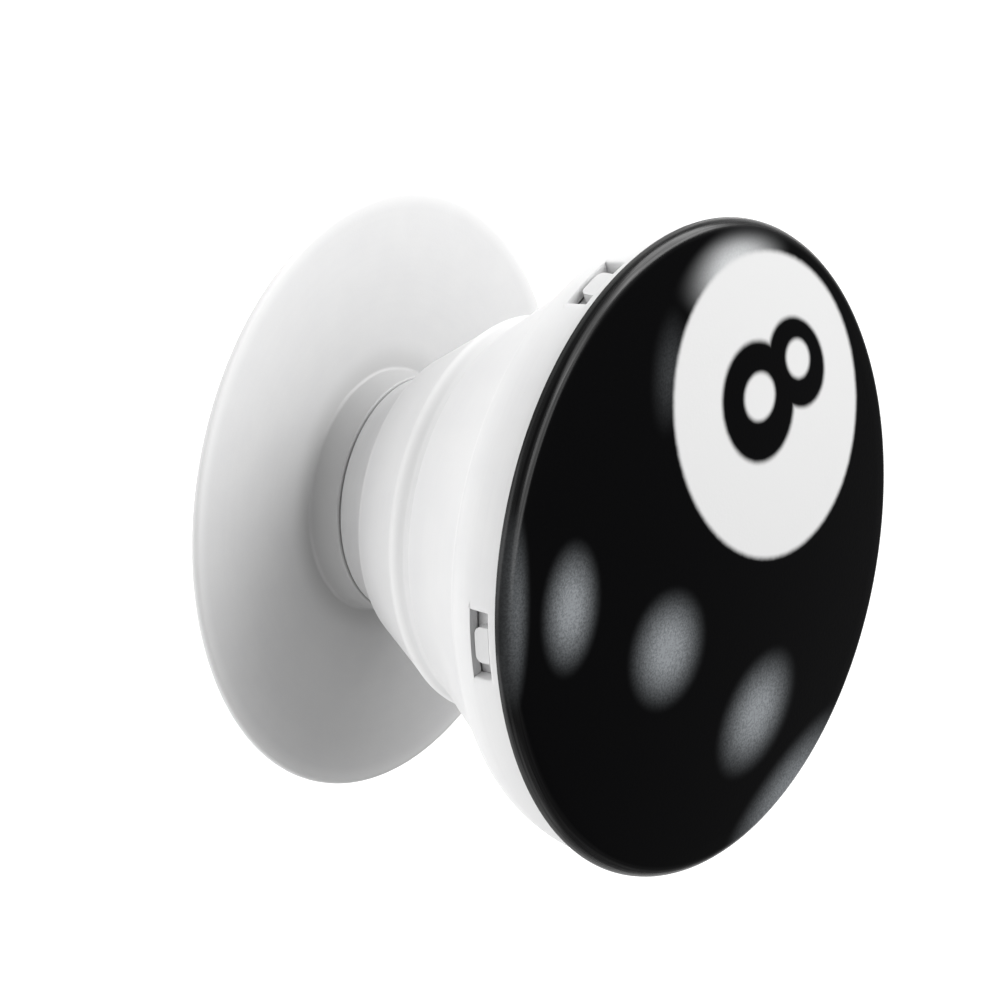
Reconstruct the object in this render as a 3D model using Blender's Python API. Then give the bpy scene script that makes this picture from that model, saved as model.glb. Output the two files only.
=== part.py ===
"""Pop-up phone grip: a round printed button on a folding rubber bellows, turning in a stick-on base.

The grip stands on its adhesive pad with the bellows fully open. Everything is turned about the
Z axis. Heights are measured from the front face of the base plate, and the pieces hang on a
chain of empties on the Z axis: base, neck (swivels), middle ring and button (both slide down).
"""
import math

import bmesh
import bpy

# Fits
SEAT_GAP = 0.0003           # between two pieces that rest on each other
FILM_GAP = 0.0002           # glue line under the printed film
RUN_CLEARANCE = 0.0003      # all round the swivel plug and inside the cup ring

# Adhesive pad and base plate
BASE_RADIUS = 0.0185
BASE_THICKNESS = 0.0009
BASE_EDGE_ROUND = 0.0003
BASE_UNDERCUT = 0.0009      # how far the back of the edge is tapered in
PAD_INSET = 0.0022          # pad edge inside the base's edge
PAD_THICKNESS = 0.0006
PAD_CHAMFER = 0.0001
COLLAR_WALL = 0.0011        # round the claws of the plug
COLLAR_HEIGHT = 0.0021
COLLAR_ROUND = 0.0002
LIP_THICKNESS = 0.0008      # ring inside the collar that the claws hook under

# Swivel plug
SHANK_RADIUS = 0.0050
PLUG_WALL = 0.0014
CLAW_REACH = 0.0010         # how far the claws and the head stand out from the shank
CLAW_RECESS = 0.0005        # claw ends above the back of the base plate
HEAD_HEIGHT = 0.0008
SLOT_WIDTH = 0.0010
PLUG_CHAMFER = 0.0002

# Bellows, from the neck up
NECK_STEP = 0.0002          # foot of the neck inside the collar's outer face
NECK_FLARE = 0.00155        # from the neck's foot to its top
NECK_HEIGHT = 0.00255
NECK_FLOOR = 0.0010
FLARE_POWER = 1.5           # 1 is a straight cone
WALL_THICKNESS = 0.0009     # of the folding walls, measured level
LOWER_FOLD_HEIGHT = 0.00435
MIDDLE_RADIUS = 0.0122
MIDDLE_HEIGHT = 0.0011
MIDDLE_WIDTH = 0.0014
MIDDLE_ROUND = 0.0003
UPPER_FOLD_HEIGHT = 0.00775
CUP_HEIGHT = 0.0048
CUP_FLARE = 0.0020          # from the cup's foot to its top
CUP_OVERHANG = 0.0005       # face rim beyond the cup's top
CUP_WALL = 0.0013

# Windows in the cup ring and the hooks of the button that snap into them
WINDOW_COUNT = 5
WINDOW_TURN = math.pi       # from +X to the first window
WINDOW_WIDTH = 0.0044
WINDOW_HEIGHT = 0.0016
WINDOW_BRIDGE = 0.0006      # band of rubber above each window
HOOK_SIDE_ROOM = 0.00105    # on each side of a hook in its window
HOOK_FOOT_ROOM = 0.0004     # under a hook in its window
HOOK_INSET = 0.0002         # hook tip below the cup's outer face

# Button and its printed film
FACE_RADIUS = 0.0200
FILM_THICKNESS = 0.0003
SHOULDER_ROUND = 0.0008
SHOULDER_DROP = 0.00005     # straight edge below the shoulder
CROWN_EDGE_SLOPE = 6        # degrees, where the crown meets the shoulder
CROWN_RISE = 0.0012         # from the top of the shoulder to the middle of the face
BUTTON_THICKNESS = 0.0012
SKIRT_WALL = 0.0010

# Fineness of the turned shapes
SEGMENTS = 48
CROWN_STEPS = 5
CURVE_STEPS = 5
ROUND_STEPS = 3
SHARP_ANGLE = math.radians(35)

# Places that follow from the sizes; heights are above the front face of the base plate
FRONT = PAD_THICKNESS + SEAT_GAP + BASE_THICKNESS   # that face above the adhesive face
LIP_RADIUS = SHANK_RADIUS + RUN_CLEARANCE
PLUG_REACH = SHANK_RADIUS + CLAW_REACH
SOCKET_RADIUS = PLUG_REACH + RUN_CLEARANCE
COLLAR_RADIUS = SOCKET_RADIUS + COLLAR_WALL
NECK_RADIUS = COLLAR_RADIUS - NECK_STEP
NECK_TOP_RADIUS = NECK_RADIUS + NECK_FLARE
CUP_TOP_RADIUS = FACE_RADIUS - CUP_OVERHANG
CUP_FOOT_RADIUS = CUP_TOP_RADIUS - CUP_FLARE
CUP_BORE = CUP_TOP_RADIUS - CUP_WALL
SKIRT_RADIUS = CUP_BORE - RUN_CLEARANCE
SHOULDER_CENTRE = FACE_RADIUS - SHOULDER_ROUND
NECK_LEVEL = COLLAR_HEIGHT + SEAT_GAP
NECK_TOP = NECK_LEVEL + NECK_HEIGHT
MIDDLE_LEVEL = NECK_TOP + LOWER_FOLD_HEIGHT
MIDDLE_TOP = MIDDLE_LEVEL + MIDDLE_HEIGHT
CUP_LEVEL = MIDDLE_TOP + UPPER_FOLD_HEIGHT
CUP_TOP = CUP_LEVEL + CUP_HEIGHT
WINDOW_TOP = CUP_TOP - WINDOW_BRIDGE
WINDOW_FLOOR = WINDOW_TOP - WINDOW_HEIGHT
FLANGE_LEVEL = CUP_TOP + SEAT_GAP
SHOULDER_LEVEL = FLANGE_LEVEL + SHOULDER_DROP


def clear_scene():
    for obj in list(bpy.data.objects):
        bpy.data.objects.remove(obj)
    for mesh in list(bpy.data.meshes):
        bpy.data.meshes.remove(mesh)


def material(name, colour, roughness):
    made = bpy.data.materials.new(name)
    made.use_nodes = True
    shader = made.node_tree.nodes["Principled BSDF"]
    shader.inputs["Base Color"].default_value = (*colour, 1)
    shader.inputs["Roughness"].default_value = roughness
    made.diffuse_color = (*colour, 1)
    return made


def empty_on_axis(name, height, parent=None):
    made = bpy.data.objects.new(name, None)
    made.empty_display_size = FACE_RADIUS
    made.location = (0, 0, height)
    made.parent = parent
    bpy.context.collection.objects.link(made)
    return made


def arc(centre_r, centre_z, radius, start, end, steps=ROUND_STEPS):
    """Points on an arc in the (radius, height) plane, from one angle to another in degrees."""
    angles = [math.radians(start + (end - start) * i / steps) for i in range(steps + 1)]
    return [(centre_r + radius * math.cos(a), centre_z + radius * math.sin(a)) for a in angles]


def shaded(bm, name, parent, finish):
    mesh = bpy.data.meshes.new(name)
    bm.to_mesh(mesh)
    bm.free()
    mesh.materials.append(finish)
    mesh.shade_smooth()
    mesh.set_sharp_from_angle(angle=SHARP_ANGLE)
    made = bpy.data.objects.new(name, mesh)
    made.parent = parent
    bpy.context.collection.objects.link(made)
    return made


def turned(name, outline, parent, finish):
    """A solid turned about Z from a closed outline of (radius, height) points."""
    bm = bmesh.new()
    points = [bm.verts.new((r, 0, z)) for r, z in outline]
    on_axis = outline[0][0] == 0 and outline[-1][0] == 0
    ends = points[1:] if on_axis else points[1:] + points[:1]
    edges = [bm.edges.new(pair) for pair in zip(points, ends)]
    bmesh.ops.spin(bm, geom=points + edges, cent=(0, 0, 0), axis=(0, 0, 1),
                   angle=math.tau, steps=SEGMENTS, use_merge=True)
    bmesh.ops.remove_doubles(bm, verts=bm.verts, dist=1e-7)
    bmesh.ops.recalc_face_normals(bm, faces=bm.faces)
    return shaded(bm, name, parent, finish)


def radial_block(name, outline, width, angle, parent, finish):
    """A block as wide as given, with its outline in the (radius, height) plane at an angle about Z."""
    bm = bmesh.new()
    face = bm.faces.new([bm.verts.new((r, -width / 2, z)) for r, z in outline])
    grown = bmesh.ops.extrude_face_region(bm, geom=[face])["geom"]
    moved = [item for item in grown if isinstance(item, bmesh.types.BMVert)]
    bmesh.ops.translate(bm, verts=moved, vec=(0, width, 0))
    bmesh.ops.recalc_face_normals(bm, faces=bm.faces)
    made = shaded(bm, name, parent, finish)
    made.rotation_euler.z = angle
    made.display_type = "WIRE"
    made.hide_render = True
    return made


def combine(piece, other, operation):
    step = piece.modifiers.new(f"{operation.title()} {other.name}", "BOOLEAN")
    step.object = other
    step.operation = operation
    step.solver = "EXACT"


def make_adhesive_pad(parent, finish):
    radius = BASE_RADIUS - PAD_INSET
    bottom = -FRONT
    top = bottom + PAD_THICKNESS
    outline = [
        (0, top),
        (radius - PAD_CHAMFER, top),
        (radius, top - PAD_CHAMFER),
        (radius, bottom + PAD_CHAMFER),
        (radius - PAD_CHAMFER, bottom),
        (0, bottom),
    ]
    return turned("adhesive_pad", outline, parent, finish)


def make_base_plate(parent, finish):
    """A thin disc with a collar round its stepped bore."""
    lip_foot = COLLAR_HEIGHT - LIP_THICKNESS
    outline = [(LIP_RADIUS, COLLAR_HEIGHT)]
    outline += arc(COLLAR_RADIUS - COLLAR_ROUND, COLLAR_HEIGHT - COLLAR_ROUND, COLLAR_ROUND, 90, 0)
    outline += [(COLLAR_RADIUS, COLLAR_ROUND), (COLLAR_RADIUS + COLLAR_ROUND, 0)]
    outline += arc(BASE_RADIUS - BASE_EDGE_ROUND, -BASE_EDGE_ROUND, BASE_EDGE_ROUND, 90, 0)
    outline += [
        (BASE_RADIUS - BASE_UNDERCUT, -BASE_THICKNESS),
        (SOCKET_RADIUS, -BASE_THICKNESS),
        (SOCKET_RADIUS, lip_foot),
        (LIP_RADIUS, lip_foot),
    ]
    return turned("base_plate", outline, parent, finish)


def make_swivel_plug(parent, finish):
    """A hollow rivet: claws under the collar's lip, a head over the floor of the neck ring."""
    bore = SHANK_RADIUS - PLUG_WALL
    claw_top = COLLAR_HEIGHT - LIP_THICKNESS - SEAT_GAP
    claw_foot = CLAW_RECESS - BASE_THICKNESS
    head_foot = NECK_LEVEL + NECK_FLOOR + SEAT_GAP
    head_top = head_foot + HEAD_HEIGHT
    outline = [
        (bore, head_top),
        (PLUG_REACH - PLUG_CHAMFER, head_top),
        (PLUG_REACH, head_top - PLUG_CHAMFER),
        (PLUG_REACH, head_foot),
        (SHANK_RADIUS, head_foot),
        (SHANK_RADIUS, claw_top),
        (PLUG_REACH, claw_top),
        (PLUG_REACH, claw_top - PLUG_CHAMFER),
        (SHANK_RADIUS, claw_foot),
        (bore, claw_foot),
    ]
    plug = turned("swivel_plug", outline, parent, finish)
    slot_foot = -BASE_THICKNESS
    reach = PLUG_REACH + SLOT_WIDTH
    slot = [(-reach, slot_foot), (reach, slot_foot), (reach, NECK_LEVEL), (-reach, NECK_LEVEL)]
    for index in range(2):
        cutter = radial_block(f"plug_slot_{index + 1}", slot, SLOT_WIDTH,
                              math.pi / 2 * index, parent, finish)
        combine(plug, cutter, "DIFFERENCE")
    return plug


def make_neck_ring(parent, finish):
    """The small end of the bellows: a flared cup that the plug holds to the collar."""
    bore = LIP_RADIUS
    inside = SOCKET_RADIUS + RUN_CLEARANCE
    floor_top = NECK_LEVEL + NECK_FLOOR
    outline = [(NECK_TOP_RADIUS - WALL_THICKNESS, NECK_TOP)]
    for i in range(CURVE_STEPS, -1, -1):
        share = i / CURVE_STEPS
        outline.append((NECK_RADIUS + NECK_FLARE * share ** FLARE_POWER,
                        NECK_LEVEL + NECK_HEIGHT * share))
    outline += [(bore, NECK_LEVEL), (bore, floor_top), (inside, floor_top)]
    return turned("neck_ring", outline, parent, finish)


def make_wall(name, low, high, parent, finish):
    """A cone of thin rubber between two rings; low and high are its outer edges."""
    outline = [
        high,
        low,
        (low[0] - WALL_THICKNESS, low[1]),
        (high[0] - WALL_THICKNESS, high[1]),
    ]
    return turned(name, outline, parent, finish)


def make_middle_ring(parent, finish):
    inner = MIDDLE_RADIUS - MIDDLE_WIDTH
    edge = MIDDLE_RADIUS - MIDDLE_ROUND
    outline = [(inner, MIDDLE_TOP)]
    outline += arc(edge, MIDDLE_TOP - MIDDLE_ROUND, MIDDLE_ROUND, 90, 0)
    outline += arc(edge, MIDDLE_LEVEL + MIDDLE_ROUND, MIDDLE_ROUND, 0, -90)
    outline += [(inner, MIDDLE_LEVEL)]
    return turned("middle_ring", outline, parent, finish)


def make_cup_ring(parent, finish):
    """The wide end of the bellows: a bulging band with windows for the hooks."""
    outer = []
    for i in range(CURVE_STEPS + 1):
        angle = math.pi / 2 * i / CURVE_STEPS
        outer.append((CUP_FOOT_RADIUS + CUP_FLARE * math.sin(angle),
                      CUP_LEVEL + CUP_HEIGHT * (1 - math.cos(angle))))
    outline = [(CUP_BORE, CUP_TOP)]
    outline += reversed(outer)
    outline += [
        (CUP_FOOT_RADIUS - WALL_THICKNESS, CUP_LEVEL),
        (CUP_BORE, WINDOW_FLOOR - SEAT_GAP),
    ]
    cup = turned("cup_ring", outline, parent, finish)
    inside = CUP_BORE - CUP_WALL
    outside = CUP_TOP_RADIUS + CUP_WALL
    window = [(inside, WINDOW_FLOOR), (outside, WINDOW_FLOOR),
              (outside, WINDOW_TOP), (inside, WINDOW_TOP)]
    for index in range(WINDOW_COUNT):
        cutter = radial_block(f"window_{index + 1}", window, WINDOW_WIDTH,
                              WINDOW_TURN + math.tau * index / WINDOW_COUNT, parent, finish)
        combine(cup, cutter, "DIFFERENCE")
    return cup


def dome(apex_height, edge_radius, edge_height):
    """Crown points from the axis out to the edge, on a sphere through both."""
    rise = apex_height - edge_height
    sphere = (edge_radius ** 2 + rise ** 2) / (2 * rise)
    radii = [edge_radius * i / CROWN_STEPS for i in range(CROWN_STEPS + 1)]
    return [(r, apex_height - sphere + math.sqrt(sphere ** 2 - r ** 2)) for r in radii]


def crown_outline(inset):
    """The face from its crown to its side, set in from the film's outer surface."""
    apex = SHOULDER_LEVEL + SHOULDER_ROUND + CROWN_RISE - inset
    shoulder = arc(SHOULDER_CENTRE, SHOULDER_LEVEL, SHOULDER_ROUND - inset, 90 - CROWN_EDGE_SLOPE, 0)
    return dome(apex, *shoulder[0])[:-1] + shoulder


def make_button(parent, finish):
    """The hard button: a domed disc with a skirt inside the cup ring, and hooks on the skirt."""
    skirt_inner = SKIRT_RADIUS - SKIRT_WALL
    skirt_foot = WINDOW_FLOOR + SEAT_GAP
    outline = crown_outline(FILM_THICKNESS + FILM_GAP)
    side = outline[-1][0]
    hollow_top = outline[0][1] - BUTTON_THICKNESS
    outline += [
        (side, FLANGE_LEVEL),
        (SKIRT_RADIUS, FLANGE_LEVEL),
        (SKIRT_RADIUS, skirt_foot),
        (skirt_inner, skirt_foot),
    ]
    outline += reversed(dome(hollow_top, skirt_inner, FLANGE_LEVEL))
    button = turned("button", outline, parent, finish)
    hook_top = WINDOW_TOP - RUN_CLEARANCE
    hook_foot = WINDOW_FLOOR + HOOK_FOOT_ROOM
    hook_width = WINDOW_WIDTH - 2 * HOOK_SIDE_ROOM
    tip = CUP_TOP_RADIUS - HOOK_INSET
    root = SKIRT_RADIUS - SKIRT_WALL / 2
    hook = [
        (root, hook_foot),
        (tip, (hook_foot + hook_top) / 2),
        (tip, hook_top),
        (root, hook_top),
    ]
    for index in range(WINDOW_COUNT):
        block = radial_block(f"hook_{index + 1}", hook, hook_width,
                             WINDOW_TURN + math.tau * index / WINDOW_COUNT, parent, finish)
        combine(button, block, "UNION")
    return button


def make_face_film(parent, finish):
    """The printed film: a thin domed skin whose rim wraps round the button's edge."""
    outer = crown_outline(0)
    inner = crown_outline(FILM_THICKNESS)
    rim = [(outer[-1][0], FLANGE_LEVEL), (inner[-1][0], FLANGE_LEVEL)]
    return turned("face_film", outer + rim + inner[::-1], parent, finish)


def main():
    clear_scene()
    foam = material("adhesive foam", (0.80, 0.80, 0.80), 0.85)
    hard_white = material("white hard plastic", (0.86, 0.86, 0.86), 0.45)
    soft_white = material("white soft rubber", (0.84, 0.84, 0.84), 0.60)
    print_black = material("black printed film", (0.01, 0.01, 0.01), 0.35)

    base = empty_on_axis("base_axis", FRONT)
    make_adhesive_pad(base, foam)
    make_base_plate(base, hard_white)

    neck = empty_on_axis("neck_axis", 0, base)
    make_swivel_plug(neck, hard_white)
    make_neck_ring(neck, soft_white)
    make_wall("lower_wall",
              (NECK_TOP_RADIUS + SEAT_GAP, NECK_TOP + SEAT_GAP),
              (MIDDLE_RADIUS - SEAT_GAP, MIDDLE_LEVEL - SEAT_GAP), neck, soft_white)

    middle = empty_on_axis("middle_axis", 0, neck)
    make_middle_ring(middle, soft_white)
    make_wall("upper_wall",
              (MIDDLE_RADIUS - SEAT_GAP, MIDDLE_TOP + SEAT_GAP),
              (CUP_FOOT_RADIUS - SEAT_GAP, CUP_LEVEL - SEAT_GAP), middle, soft_white)

    button = empty_on_axis("button_axis", 0, middle)
    make_cup_ring(button, soft_white)
    make_button(button, hard_white)
    make_face_film(button, print_black)


main()
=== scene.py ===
import math

import bmesh
import bpy
from mathutils import Matrix, Vector


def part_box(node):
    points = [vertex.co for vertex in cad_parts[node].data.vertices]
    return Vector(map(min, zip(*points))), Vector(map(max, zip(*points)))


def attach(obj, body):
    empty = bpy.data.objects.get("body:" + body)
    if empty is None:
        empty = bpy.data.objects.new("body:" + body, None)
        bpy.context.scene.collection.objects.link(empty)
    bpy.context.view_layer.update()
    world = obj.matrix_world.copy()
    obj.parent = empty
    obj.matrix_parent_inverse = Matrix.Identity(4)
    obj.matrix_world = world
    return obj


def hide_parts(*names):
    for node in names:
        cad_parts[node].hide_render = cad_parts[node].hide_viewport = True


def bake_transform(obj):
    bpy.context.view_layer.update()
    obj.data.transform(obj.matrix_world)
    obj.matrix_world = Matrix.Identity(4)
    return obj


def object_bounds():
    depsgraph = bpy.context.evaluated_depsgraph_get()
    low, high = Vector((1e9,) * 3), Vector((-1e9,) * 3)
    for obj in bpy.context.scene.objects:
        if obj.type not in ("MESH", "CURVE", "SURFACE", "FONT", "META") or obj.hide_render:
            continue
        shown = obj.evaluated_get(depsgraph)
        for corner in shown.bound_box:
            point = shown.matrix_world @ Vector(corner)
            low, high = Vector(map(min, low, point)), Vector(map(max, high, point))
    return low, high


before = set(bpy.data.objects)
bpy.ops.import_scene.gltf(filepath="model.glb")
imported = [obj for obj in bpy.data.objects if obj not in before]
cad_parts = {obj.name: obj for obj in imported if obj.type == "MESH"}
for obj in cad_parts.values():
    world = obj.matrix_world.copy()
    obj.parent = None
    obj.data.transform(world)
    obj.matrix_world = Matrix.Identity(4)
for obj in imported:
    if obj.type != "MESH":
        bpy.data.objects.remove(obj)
cadLow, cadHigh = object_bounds()

mm = 0.001
roundness = 260  # segments of every turned piece, a whole number between windows
windowCount = 5  # windows in the cup, and hooks of the button in them
segmentTurn = math.tau / roundness
cornerSteps = 6  # facets across a rounded corner
smoothBelow = 40  # degrees between two faces that are still shaded as one
onAxisWithin = 1e-8  # metres
mergeWithin = 1e-7
collarTop = 2.1  # heights in the dictionaries are millimetres above the front of the base
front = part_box("base_plate")[1].z - collarTop * mm


class Wire:
    # one output socket of a node tree, so that shader maths reads as plain expressions
    def __init__(self, tree, socket=None):
        self.tree = tree
        self.socket = socket

    def node(self, kind, settings, inputs, output=0):
        made = self.tree.nodes.new(kind)
        for name, value in settings.items():
            setattr(made, name, value)
        for name, value in inputs.items():
            if isinstance(value, Wire):
                self.tree.links.new(value.socket, made.inputs[name])
            else:
                made.inputs[name].default_value = value
        return Wire(self.tree, made.outputs[output] if made.outputs else None)

    def other(self, output):
        return Wire(self.tree, self.socket.node.outputs[output])

    def maths(self, operation, *values):
        return self.node("ShaderNodeMath", {"operation": operation}, dict(enumerate(values)))

    def vector(self, operation, *values):
        return self.node("ShaderNodeVectorMath", {"operation": operation}, dict(enumerate(values)))

    def __add__(self, other):
        return self.maths("ADD", self, other)

    def __radd__(self, other):
        return self.maths("ADD", other, self)

    def __sub__(self, other):
        return self.maths("SUBTRACT", self, other)

    def __rsub__(self, other):
        return self.maths("SUBTRACT", other, self)

    def __mul__(self, other):
        return self.maths("MULTIPLY", self, other)

    def __rmul__(self, other):
        return self.maths("MULTIPLY", other, self)

    def __pow__(self, other):
        return self.maths("POWER", self, other)

    def absolute(self):
        return self.maths("ABSOLUTE", self)

    def largest(self, other):
        return self.maths("MAXIMUM", self, other)

    def between(self, low, high):
        # goes smoothly from 0 at low to 1 at high
        return self.node("ShaderNodeMapRange", {"interpolation_type": "SMOOTHSTEP"},
                         {"Value": self, "From Min": low, "From Max": high})

    def noise(self, size, detail=2.0, roughness=0.5):
        # cloudy noise from 0 to 1 whose lumps are about size across, on a point
        return self.node("ShaderNodeTexNoise", {}, {
            "Vector": self,
            "Scale": 1 / size,
            "Detail": detail,
            "Roughness": roughness,
        }, "Fac")

    def cells(self, size):
        # distance from the middle of a cell about size across, on a point
        return self.node("ShaderNodeTexVoronoi", {}, {
            "Vector": self,
            "Scale": 1 / size,
        }, "Distance")

    def blend(self, first, second):
        # colour mix: first where this is 0, second where it is 1
        first, second = (colour if isinstance(colour, Wire) else (*colour, 1)
                         for colour in (first, second))
        return self.node("ShaderNodeMix", {"data_type": "RGBA"}, {0: self, 6: first, 7: second}, 2)


def strongest(wires):
    # the largest of several masks at each place
    found = wires[0]
    for wire in wires[1:]:
        found = found.largest(wire)
    return found


def newMaterial(name):
    made = bpy.data.materials.new(name)
    made.use_nodes = True
    made.node_tree.nodes.clear()
    return made, Wire(made.node_tree)


def pointInMillimetres(tree):
    point = tree.node("ShaderNodeTexCoord", {}, {}, "Object")
    return tree.node("ShaderNodeMapping", {}, {"Vector": point, "Scale": (1000, 1000, 1000)})


def roundTheAxis(point):
    # distance from the axis, angle round it and height of a point
    place = point.node("ShaderNodeSeparateXYZ", {}, {0: point}, "X")
    x, y, z = place, place.other("Y"), place.other("Z")
    return (x * x + y * y) ** 0.5, y.maths("ARCTAN2", y, x), z


def stretched(tree, x, y, z=0.0):
    # a point made of three values, to draw noise out along the tool marks
    return tree.node("ShaderNodeCombineXYZ", {}, {0: x, 1: y, 2: z})


def finishWith(material, tree, sockets, bumps=()):
    # bumps are (height, depth in millimetres), finest last
    normal = None
    for height, depth in bumps:
        values = {"Height": height, "Distance": depth * mm, "Strength": 1.0}
        if normal is not None:
            values["Normal"] = normal
        normal = tree.node("ShaderNodeBump", {}, values)
    if normal is not None:
        sockets["Normal"] = normal
    shader = tree.node("ShaderNodeBsdfPrincipled", {}, sockets)
    tree.node("ShaderNodeOutputMaterial", {}, {"Surface": shader})
    return material


def section(bm, corners):
    # half of a turned piece, cut through the axis
    # corners are (radius, height, rounding) in millimetres; a rounding starts that far from its corner
    points = [bm.verts.new((radius * mm, 0, front + height * mm)) for radius, height, _ in corners]
    bm.faces.new(points)
    for point, (_, _, rounding) in zip(points, corners):
        if rounding:
            bmesh.ops.bevel(bm, geom=[point], offset=rounding * mm, offset_type="OFFSET",
                            affect="VERTICES", segments=cornerSteps, profile=0.5, material=-1)
    bmesh.ops.delete(bm, geom=bm.faces[:], context="FACES_ONLY")
    onAxis = [edge for edge in bm.edges if max(abs(v.co.x) for v in edge.verts) < onAxisWithin]
    bmesh.ops.delete(bm, geom=onAxis, context="EDGES")


def crown(bm, dome):
    # rings are cut in the flat faces that reach the axis, and the top is raised to a shallow dome
    spokes = [edge for edge in bm.edges if min(abs(v.co.x) for v in edge.verts) < onAxisWithin]
    bmesh.ops.subdivide_edges(bm, edges=spokes, cuts=dome["rings"])
    for vert in bm.verts:
        if vert.co.z > front + dome["above"] * mm:
            vert.co.z += dome["rise"] * mm * (1 - (vert.co.x / (dome["edge"] * mm)) ** 2)


def turn(bm):
    # half a segment of turn puts the middle of a face on the X axis
    bmesh.ops.rotate(bm, verts=bm.verts, cent=(0, 0, 0),
                     matrix=Matrix.Rotation(segmentTurn / 2, 3, "Z"))
    bmesh.ops.spin(bm, geom=bm.verts[:] + bm.edges[:], cent=(0, 0, 0), axis=(0, 0, 1),
                   angle=math.tau, steps=roundness, use_merge=True)
    bmesh.ops.remove_doubles(bm, verts=bm.verts, dist=mergeWithin)
    bmesh.ops.recalc_face_normals(bm, faces=bm.faces)


def cutLevel(bm, height):
    bmesh.ops.bisect_plane(bm, geom=bm.verts[:] + bm.edges[:] + bm.faces[:], dist=onAxisWithin,
                           plane_co=(0, 0, front + height * mm), plane_no=(0, 0, 1))


def cutFold(bm, low, high, spacing):
    # rings across a wall that let it roll over
    for index in range(int((high - low) / spacing) + 1):
        cutLevel(bm, low + index * spacing)


def windowAngles():
    return [math.pi + math.tau * index / windowCount for index in range(windowCount)]


def apart(angle, other):
    return abs((angle - other + math.pi) % math.tau - math.pi)


def facesBetween(bm, radii, levels, middle, halfSegments):
    # faces whose middle lies in a patch of a turned wall
    found = []
    for face in bm.faces:
        centre = face.calc_center_median()
        radius = math.hypot(centre.x, centre.y) / mm
        height = (centre.z - front) / mm
        inside = radii[0] < radius < radii[1] and levels[0] < height < levels[1]
        if inside and apart(math.atan2(centre.y, centre.x), middle) < halfSegments * segmentTurn:
            found.append(face)
    return found


def borderOf(patch):
    # edges with just one face of the patch beside them
    edges = dict.fromkeys(edge for face in patch for edge in face.edges)
    return [edge for edge in edges if sum(face in patch for face in edge.link_faces) == 1]


def openWindow(bm, outer, inner, rounding, steps):
    # takes a patch out of both skins of a wall, closes its sides and rounds the outer rim
    rims = []
    for patch in (outer, inner):
        rims.append(borderOf(patch))
        bmesh.ops.delete(bm, geom=patch, context="FACES")
    bmesh.ops.bridge_loops(bm, edges=rims[0] + rims[1])
    bmesh.ops.bevel(bm, geom=rims[0], offset=rounding * mm, offset_type="OFFSET",
                    affect="EDGES", segments=steps, profile=0.5, material=-1)


def keepLevels(bm):
    # every point remembers its height at rest, so that the finish stays put when the piece folds
    layer = bm.verts.layers.float.new("level")
    for vert in bm.verts:
        vert[layer] = (vert.co.z - front) / mm


def makePiece(name, bm, material):
    mesh = bpy.data.meshes.new(name)
    bm.to_mesh(mesh)
    bm.free()
    mesh.materials.append(material)
    mesh.shade_smooth()
    mesh.set_sharp_from_angle(angle=math.radians(smoothBelow))
    piece = bpy.data.objects.new(name, mesh)
    bpy.context.scene.collection.objects.link(piece)
    print(name, "has", len(mesh.polygons), "faces")
    return piece


# base plate with its collar
basePlate = {
    "corners": [
        (5.3, 2.1, 0.12),
        (7.34, 2.1, 0.13),
        (7.42, 0, 0.22),
        (18.5, 0, 0.36),
        (18.5, -0.34, 0.14),
        (17.6, -0.9, 0.12),
        (6.3, -0.9, 0.1),
        (6.3, 1.3, 0.1),
        (5.3, 1.3, 0.1),
    ],
    "colour": (0.65, 0.65, 0.65),
    "shadeColour": (0.62, 0.62, 0.625),
    "rimHighlightColour": (0.71, 0.71, 0.71),
    "collarShadeColour": (0.52, 0.52, 0.52),
    "rimHighlightRadii": (17.3, 18.3),  # painted highlight: the thin rim is painted paler, in place of the light it lets through
    "rimHighlightHeights": ((1.0, 1.4), (2.6, 2.2)),  # above the back of the pad
    "collarShadeRadii": (9.4, 7.4),  # painted shade, darker round the foot of the collar
    "collarShadeHeights": (6.0, 5.0),
    "roughness": 0.42,
    "cloudSize": 2.2,
    "streakSize": 2.5,
    "grainSize": 0.11,
    "grainDepth": 0.004,
    "waveSize": 5.0,
    "waveDepth": 0.02,
}


def hardPlasticMaterial(name, look):
    # moulded white plastic with a fine spark-eroded grain, a little uneven in colour and gloss
    material, tree = newMaterial(name)
    point = pointInMillimetres(tree)
    radius, angle, height = roundTheAxis(point)
    grain = point.noise(look["grainSize"], 3, 0.6)
    pits = point.cells(look["grainSize"] * 1.7).between(0.0, 0.6)
    wave = point.noise(look["waveSize"], 2)
    cloud = point.noise(look["cloudSize"], 3)
    streak = stretched(tree, radius * 9, angle * 2, height * 9).noise(look["streakSize"], 2)
    tone = (cloud * 0.5 + grain * 0.3 + streak * 0.2).between(0.25, 0.75)
    body = tone.blend(look["shadeColour"], look["colour"])
    # painted highlight along the rim of the plate
    edge = radius.between(*look["rimHighlightRadii"])
    for heights in look["rimHighlightHeights"]:
        edge = edge * height.between(*heights)
    # painted shade round the foot of the collar
    collarShade = radius.between(*look["collarShadeRadii"]) * height.between(*look["collarShadeHeights"])
    colour = collarShade.blend(edge.blend(body, look["rimHighlightColour"]), look["collarShadeColour"])
    gloss = look["roughness"] + (cloud - 0.5) * 0.14 + (grain - 0.5) * 0.1
    return finishWith(material, tree, {
        "Base Color": colour,
        "Roughness": gloss,
        "IOR": 1.49,
        "Specular IOR Level": 0.45,
    }, [(wave, look["waveDepth"]), (grain * 0.7 + pits * 0.3, look["grainDepth"])])


hardWhite = hardPlasticMaterial("hardWhitePlastic", basePlate)
bm = bmesh.new()
section(bm, basePlate["corners"])
turn(bm)
plate = makePiece("basePlate", bm, hardWhite)
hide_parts("base_plate")
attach(plate, "base")


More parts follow.
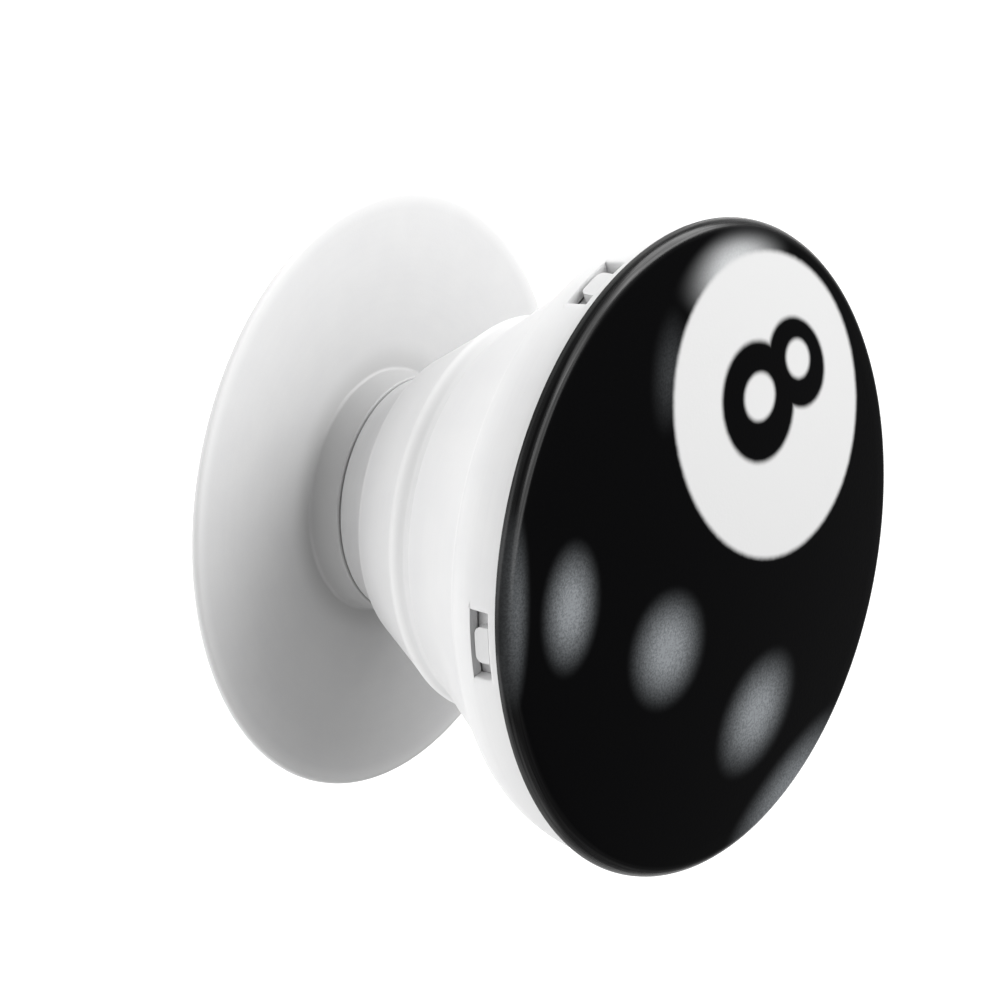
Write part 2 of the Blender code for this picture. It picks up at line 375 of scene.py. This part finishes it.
# adhesive pad
adhesivePad = {
    "corners": [
        (0, -0.92, 0),
        (16.3, -0.92, 0.05),
        (16.3, -1.8, 0.16),
        (0, -1.8, 0),
    ],
    "colour": (0.60, 0.61, 0.60),
    "cloudColour": (0.45, 0.46, 0.46),
    "lintColour": (0.33, 0.33, 0.34),
    "roughness": 0.32,
    "cloudSize": 1.8,
    "bubbleSize": 0.55,
    "lintSize": 0.35,
    "dimpleDepth": 0.012,
}


def adhesiveMaterial(look):
    # tacky gel foam: cloudy, with small bubbles and a little lint
    material, tree = newMaterial("adhesiveGel")
    point = pointInMillimetres(tree)
    cloud = point.noise(look["cloudSize"], 4, 0.6)
    bubbles = point.cells(look["bubbleSize"]).between(0.12, 0.3)
    lint = point.noise(look["lintSize"], 1).between(0.70, 0.76)
    base = cloud.between(0.3, 0.7).blend(look["cloudColour"], look["colour"])
    colour = (lint * 0.5 + (1 - bubbles) * 0.25).blend(base, look["lintColour"])
    return finishWith(material, tree, {
        "Base Color": colour,
        "Roughness": look["roughness"] + (cloud - 0.5) * 0.25,
        "Coat Weight": 0.25,
        "Coat Roughness": 0.2,
    }, [(cloud, look["dimpleDepth"]), (bubbles, look["dimpleDepth"] * 0.5)])


bm = bmesh.new()
section(bm, adhesivePad["corners"])
turn(bm)
pad = makePiece("adhesivePad", bm, adhesiveMaterial(adhesivePad))
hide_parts("adhesive_pad")
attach(pad, "base")


# swivel plug, which keeps its frame shape
swivelPlug = {
    **basePlate,
    "colour": (0.61, 0.61, 0.60),
    # painted shade colour for the plug, kept close to its body colour
    "collarShadeColour": (0.60, 0.60, 0.59),
    "grainDepth": 0.002,
}
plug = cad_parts["swivel_plug"]
plug.data.materials.clear()
plug.data.materials.append(hardPlasticMaterial("plugPlastic", swivelPlug))
print("swivel plug finished")


# bellows
bellows = {
    "lowerCorners": [
        (5.3, 2.2, 0.1),
        (7.22, 2.2, 0.07),
        (7.42, 3.1, 0.5),
        (8.05, 4.25, 0.5),
        (8.72, 4.92, 0.2),
        (9.25, 5.08, 0.22),
        (11.72, 9.05, 0.7),
        (12.2, 9.75, 0.3),
        (12.14, 10.2, 0.3),
        (12.07, 10.65, 0.3),
        (12.16, 11.08, 0),
        (11.26, 11.08, 0),
        (11.0, 10.6, 0.3),
        (10.9, 9.3, 0.5),
        (8.4, 5.3, 0.4),
        (6.6, 4.6, 0.4),
        (6.6, 3.4, 0.12),
        (5.3, 3.4, 0.12),
    ],
    "upperCorners": [
        (11.26, 11.08, 0),
        (12.2, 11.08, 0.03),
        (12.42, 11.38, 0.15),
        (17.24, 18.0, 0.4),
        (17.6, 18.4, 0.16),
        (18.42, 18.86, 0.45),
        (19.12, 20.2, 0.66),
        (19.40, 21.7, 0.7),
        (19.5, 23.2, 0.1),
        (18.5, 23.2, 0.08),
        (18.5, 20.6, 0.08),
        (16.6, 18.3, 0.5),
    ],
    "foldSpacing": 0.22,  # distance between the rings that let a wall roll over
    "lowerFold": (5.0, 9.7),
    "upperFold": (11.1, 18.2),
    "windowLevels": (20.86, 22.24),
    "windowHalf": 4.5,  # half a window's width, in segments
    "windowRound": 0.15,
    "windowSteps": 3,
    "outerSkin": (18.6, 20),  # radii that part the cup's two skins
    "innerSkin": (18.3, 18.7),
    "colour": (0.69, 0.69, 0.69),
    "shadeColour": (0.66, 0.66, 0.665),
    # painted highlights: a paler line at each ridge height
    "ridgeHighlightColour": (0.77, 0.77, 0.77),
    "ridgeHighlightLevels": (5.05, 9.86, 18.45),
    "ridgeHighlightWidth": 0.5,
    "dustColour": (0.5, 0.5, 0.51),
    "dustSize": 0.22,
    "grainSize": 0.09,
    "waveSize": 3.5,
    "roughness": 0.5,
}


def rubberMaterial(look):
    # silky moulded rubber: faint rings from the tool, slow unevenness and a very fine grain
    material, tree = newMaterial("softWhiteRubber")
    point = pointInMillimetres(tree)
    _, angle, _ = roundTheAxis(point)
    level = tree.node("ShaderNodeAttribute", {"attribute_name": "level"}, {}, "Fac")
    rings = stretched(tree, level * 3, angle * 0.8).noise(0.5, 3, 0.6)
    ridgeHighlights = [(level - place).absolute().between(look["ridgeHighlightWidth"], 0.0)
              for place in look["ridgeHighlightLevels"]]
    wave = point.noise(look["waveSize"], 2)
    grain = point.noise(look["grainSize"], 2, 0.6)
    dust = point.noise(look["dustSize"], 2).between(0.66, 0.78)
    tone = (rings * 0.4 + wave * 0.6).between(0.3, 0.7)
    base = tone.blend(look["shadeColour"], look["colour"])
    ridgeHighlighted = strongest(ridgeHighlights).blend(base, look["ridgeHighlightColour"])  # painted highlight: a paler line along each ridge
    colour = (dust * 0.12).blend(ridgeHighlighted, look["dustColour"])
    gloss = look["roughness"] + (wave - 0.5) * 0.16 + (rings - 0.5) * 0.12
    return finishWith(material, tree, {
        "Base Color": colour,
        "Roughness": gloss,
        "Specular IOR Level": 0.4,
        "Sheen Weight": 0.08,
        "Sheen Roughness": 0.4,
    }, [(wave, 0.03), (rings, 0.006), (grain, 0.003)])


softWhite = rubberMaterial(bellows)
bm = bmesh.new()
section(bm, bellows["lowerCorners"])
turn(bm)
low, high = bellows["lowerFold"]
cutFold(bm, low, high, bellows["foldSpacing"])
keepLevels(bm)
lowerBellows = makePiece("lowerBellows", bm, softWhite)
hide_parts("neck_ring", "lower_wall")
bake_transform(lowerBellows)

bm = bmesh.new()
section(bm, bellows["upperCorners"])
turn(bm)
low, high = bellows["upperFold"]
cutFold(bm, low, high, bellows["foldSpacing"])
for level in bellows["windowLevels"]:
    cutLevel(bm, level)
for middle in windowAngles():
    skins = [facesBetween(bm, bellows[skin], bellows["windowLevels"], middle, bellows["windowHalf"])
             for skin in ("outerSkin", "innerSkin")]
    openWindow(bm, *skins, bellows["windowRound"], bellows["windowSteps"])
keepLevels(bm)
upperBellows = makePiece("upperBellows", bm, softWhite)
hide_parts("middle_ring", "upper_wall", "cup_ring")
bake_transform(upperBellows)


# button with its skirt and hooks; it shares one shallow dome with its film
faceDome = {"above": 22.5, "edge": 20.0, "rise": 1.3, "rings": 20}
button = {
    "corners": [
        (0, 23.65, 0),
        (19.66, 23.65, 0.4),
        (19.66, 23.25, 0.05),
        (18.38, 23.25, 0.12),
        (18.38, 20.75, 0.15),
        (17.1, 20.75, 0.15),
        (17.1, 22.75, 0.6),
        (0, 22.75, 0),
    ],
    "hookLevels": (21.14, 22.1),
    "hookHalf": 2.5,  # half a hook's width, in segments
    "hookReach": 0.82,
    "hookFootRound": 0.45,
    "skirtSkin": (18.33, 18.43),  # radii on either side of the skirt's outer skin
}
up = Vector((0, 0, 1))
mostlyAlong = 0.9  # how closely an edge has to run with the hook

bm = bmesh.new()
section(bm, button["corners"])
crown(bm, faceDome)
turn(bm)
for level in button["hookLevels"]:
    cutLevel(bm, level)
for middle in windowAngles():
    outward = Vector((math.cos(middle), math.sin(middle), 0))
    skin = facesBetween(bm, button["skirtSkin"], button["hookLevels"], middle, button["hookHalf"])
    grown = bmesh.ops.extrude_face_region(bm, geom=skin)["geom"]
    bmesh.ops.delete(bm, geom=skin, context="FACES_ONLY")
    tip = [item for item in grown if isinstance(item, bmesh.types.BMFace)]
    tipVerts = [item for item in grown if isinstance(item, bmesh.types.BMVert)]
    bmesh.ops.translate(bm, verts=tipVerts, vec=outward * button["hookReach"] * mm)
    # the two lowest corners of the tip are rounded, along the whole hook
    rimVerts = [vert for edge in borderOf(tip) for vert in edge.verts]
    feet = [max(rimVerts, key=lambda v: (v.co.dot(side), -v.co.z))
            for side in (up.cross(outward), outward.cross(up))]
    corners = []
    for edge in (edge for vert in feet for edge in vert.link_edges):
        along = (edge.verts[0].co - edge.verts[1].co).normalized().dot(outward)
        if abs(along) > mostlyAlong:
            corners.append(edge)
    bmesh.ops.bevel(bm, geom=corners, offset=button["hookFootRound"] * mm, offset_type="OFFSET",
                    affect="EDGES", segments=cornerSteps, profile=0.5, material=-1)
print("hooks grown")
bmesh.ops.recalc_face_normals(bm, faces=bm.faces)
cap = makePiece("button", bm, hardWhite)
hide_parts("button")
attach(cap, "button")


# printed film
film = {
    "corners": [
        (0, 24.0, 0),
        (20, 24.0, 0.74),
        (20, 23.22, 0.05),
        (19.7, 23.22, 0.03),
        (19.7, 23.7, 0.45),
        (0, 23.7, 0),
    ],
    "printTurn": 18.0,  # degrees from the print's own upright to the windows
    # every ellipse of the print is a centre and radii in millimetres and a turn in degrees
    "spot": ((3.83, 8.91), (10.7, 9.08), -22.7),
    "lowBowl": ((2.44, 9.13), (4.13, 3.56), -26),
    "topBowl": ((6.46, 11.55), (3.51, 2.53), -25.6),
    "lowHole": ((2.49, 9.44), (1.65, 1.44), -3.5),
    "topHole": ((6.51, 11.78), (1.40, 1.11), -23),
    "glows": [  # with a strength
        ((-14.0, -3.3), (2.85, 4.4), 8, 0.98),
        ((-4.1, -5.8), (4.1, 4.0), 0, 1.0),
        ((6.9, -9.9), (3.7, 4.9), -45, 0.95),
        ((-7.0, 10.8), (2.2, 4.2), 0, 0.12),
        ((-18.7, -3.6), (1.25, 6.9), 11, 0.36),
        ((12.5, -14.9), (2.9, 8.2), -50, 0.7),
    ],
    "haloReach": (1.23, 0.97),  # in radii of the spot
    "haloBearings": ((1.42, 2.09), (2.65, 2.15)),  # radians round the spot
    "haloRadii": (19.8, 18.2),  # it fades towards the rim
    "rimRadii": (19.2, 19.7),
    "grainSize": 0.15,
    "pebbleSize": 0.2,
    "black": (0.0009, 0.0009, 0.0011),
    "white": (0.562, 0.562, 0.562),
    "glowColour": (0.21, 0.222, 0.233),
    "haloColour": (0.475, 0.483, 0.489),
}


def ellipse(point, centre, radii, turnBy):
    # distance from an ellipse's middle, 1 on its edge
    local = point.node("ShaderNodeMapping", {"vector_type": "TEXTURE"}, {
        "Vector": point,
        "Location": (*centre, 0),
        "Rotation": (0, 0, math.radians(turnBy)),
        "Scale": (*radii, 1),
    })
    flat = local.vector("MULTIPLY", local, (1, 1, 0))
    return flat.node("ShaderNodeVectorMath", {"operation": "LENGTH"}, {0: flat}, "Value")


def printMaterial(look):
    # a ball's white spot, figure and soft highlights in ink, with a glossier, streaky rim
    material, tree = newMaterial("printedFilm")
    point = pointInMillimetres(tree)
    radius, angle, height = roundTheAxis(point)
    upright = tree.node("ShaderNodeMapping", {}, {
        "Vector": point,
        "Rotation": (0, 0, math.radians(look["printTurn"])),
    })
    bleed = point.noise(0.5, 3) - 0.5  # ink edges aren't quite even

    spot = ellipse(upright, *look["spot"])
    white = (spot + bleed * 0.01).between(1.016, 0.964)

    lowBowl = ellipse(upright, *look["lowBowl"]) + bleed * 0.02
    topBowl = ellipse(upright, *look["topBowl"]) + bleed * 0.02
    lowHole = ellipse(upright, *look["lowHole"]) + bleed * 0.04
    topHole = ellipse(upright, *look["topHole"]) + bleed * 0.04
    strokes = lowBowl.between(1.07, 0.93).largest(topBowl.between(1.08, 0.92))
    holes = lowHole.between(1.17, 0.85).largest(topHole.between(1.2, 0.82))
    figure = strokes * (1 - holes)

    grain = point.noise(look["grainSize"], 3, 0.7).between(0.3, 0.7)
    glows = [ellipse(upright, centre, radii, turnBy).between(1.0, 0.0) * strength
             for centre, radii, turnBy, strength in look["glows"]]
    lit = (strongest(glows) * (0.68 + grain * 0.64)).blend(look["black"], look["glowColour"])

    # a brighter halo hugs the upper left of the spot
    across = upright.node("ShaderNodeSeparateXYZ", {}, {0: upright}, "X")
    spotX, spotY = look["spot"][0]
    bearing = across.maths("ARCTAN2", across.other("Y") - spotY, across - spotX)
    halo = spot.between(*look["haloReach"]) * radius.between(*look["haloRadii"])
    for bearings in look["haloBearings"]:
        halo = halo * bearing.between(*bearings)
    ground = (halo * (0.9 + grain * 0.1)).blend(lit, look["haloColour"])
    spotted = white.blend(ground, look["white"])
    colour = (figure * white).blend(spotted, look["black"])
    pebble = point.noise(look["pebbleSize"], 2, 0.5)
    lathe = stretched(tree, radius * 6, angle * 1.5, height * 6).noise(1.0, 3, 0.7)
    rim = radius.between(*look["rimRadii"])
    return finishWith(material, tree, {
        "Base Color": colour,
        "Roughness": 0.36 + (pebble - 0.5) * 0.12 + rim * (lathe - 0.5) * 0.3,
        "Specular IOR Level": 0.03,
        "Coat Weight": rim * (0.25 + lathe.between(0.3, 0.7) * 0.6),
        "Coat Roughness": 0.22,
    }, [(pebble, 0.006), (rim * lathe, 0.03)])


bm = bmesh.new()
section(bm, film["corners"])
crown(bm, faceDome)
turn(bm)
face = makePiece("faceFilm", bm, printMaterial(film))
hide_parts("face_film")
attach(face, "button")


# floor, light and camera
studio = {
    "floorLevel": -0.12,
    "floorSize": 6.0,
    "floorColour": (0.9, 0.9, 0.9),
    "mottleColour": (0.873, 0.873, 0.873),
    "floorGlow": 0.40,
    "worldColour": (0.30, 0.30, 0.30),
    "lights": {  # toward is the direction from the object to the lamp, the rest is metres and watts
        "backSoftbox": {
            "toward": (0.646, 0.608, 0.461),
            "distance": 0.5,
            "size": 0.4,
            "power": 2.0,
        },
        "overheadSoftbox": {
            "toward": (0.025, 0.155, 0.988),
            "distance": 0.5,
            "size": 0.4,
            "power": 1.55,
        },
        "highSoftbox": {
            "toward": (0.228, 0.660, 0.711),
            "distance": 0.5,
            "size": 0.4,
            "power": 0.88,
        },
        "frontSoftbox": {
            "toward": (-0.401, -0.897, 0.212),
            "distance": 0.5,
            "size": 0.4,
            "power": 0.3,
        },
        "lowFill": {
            "toward": (-0.914, 0.270, -0.303),
            "distance": 0.13,
            "size": 0.12,
            "power": 0.042,
        },
        "lowSideFill": {
            "toward": (-0.714, -0.567, -0.399),
            "distance": 0.13,
            "size": 0.12,
            "power": 0.03,
        },
    },
}
middleOfObject = (cadLow + cadHigh) / 2


def makeFloor():
    bm = bmesh.new()
    bmesh.ops.create_grid(bm, x_segments=8, y_segments=8, size=studio["floorSize"] / 2)
    bmesh.ops.translate(bm, verts=bm.verts, vec=(0, 0, studio["floorLevel"]))
    mesh = bpy.data.meshes.new("floor")
    bm.to_mesh(mesh)
    bm.free()
    material, tree = newMaterial("paleFloor")
    mottle = tree.node("ShaderNodeTexCoord", {}, {}, "Object").noise(0.3, 3)
    colour = mottle.blend(studio["mottleColour"], studio["floorColour"])
    finishWith(material, tree, {
        "Base Color": colour,
        "Roughness": 0.9,
        "Emission Color": (1, 1, 1, 1),
        "Emission Strength": studio["floorGlow"],
    })
    mesh.materials.append(material)
    floor = bpy.data.objects.new("floor", mesh)
    bpy.context.scene.collection.objects.link(floor)


def makeLight(name, look):
    lamp = bpy.data.lights.new(name, "AREA")
    lamp.shape = "DISK"
    lamp.size = look["size"]
    lamp.energy = look["power"]
    made = bpy.data.objects.new(name, lamp)
    toward = Vector(look["toward"]).normalized()
    made.location = middleOfObject + toward * look["distance"]
    made.rotation_mode = "QUATERNION"
    made.rotation_quaternion = toward.to_track_quat("Z", "Y")
    made.visible_camera = False
    bpy.context.scene.collection.objects.link(made)


makeFloor()
for name, look in studio["lights"].items():
    makeLight(name, look)
print("floor and lights placed")

world = bpy.data.worlds.new("studio")
world.use_nodes = True
background = world.node_tree.nodes["Background"]
background.inputs["Color"].default_value = (*studio["worldColour"], 1)
background.inputs["Strength"].default_value = 1.0
bpy.context.scene.world = world

camera = {
    "place": (-0.36474, 0.16492, 0.28873),
    "right": (0.588282, -0.058636, 0.806527),
    "up": (0.305312, 0.939656, -0.154380),
    "back": (-0.748806, 0.337061, 0.570684),
    "lens": 288.3,
    "sensor": 36,
    "nearest": 0.01,
    "farthest": 20,
}
lens = bpy.data.cameras.new("camera")
lens.lens = camera["lens"]
lens.sensor_width = camera["sensor"]
lens.clip_start = camera["nearest"]
lens.clip_end = camera["farthest"]
viewer = bpy.data.objects.new("camera", lens)
bpy.context.scene.collection.objects.link(viewer)
turned = Matrix((camera["right"], camera["up"], camera["back"])).transposed()
viewer.matrix_world = Matrix.Translation(camera["place"]) @ turned.to_4x4()
bpy.context.scene.camera = viewer
bpy.context.scene.view_settings.view_transform = "Standard"
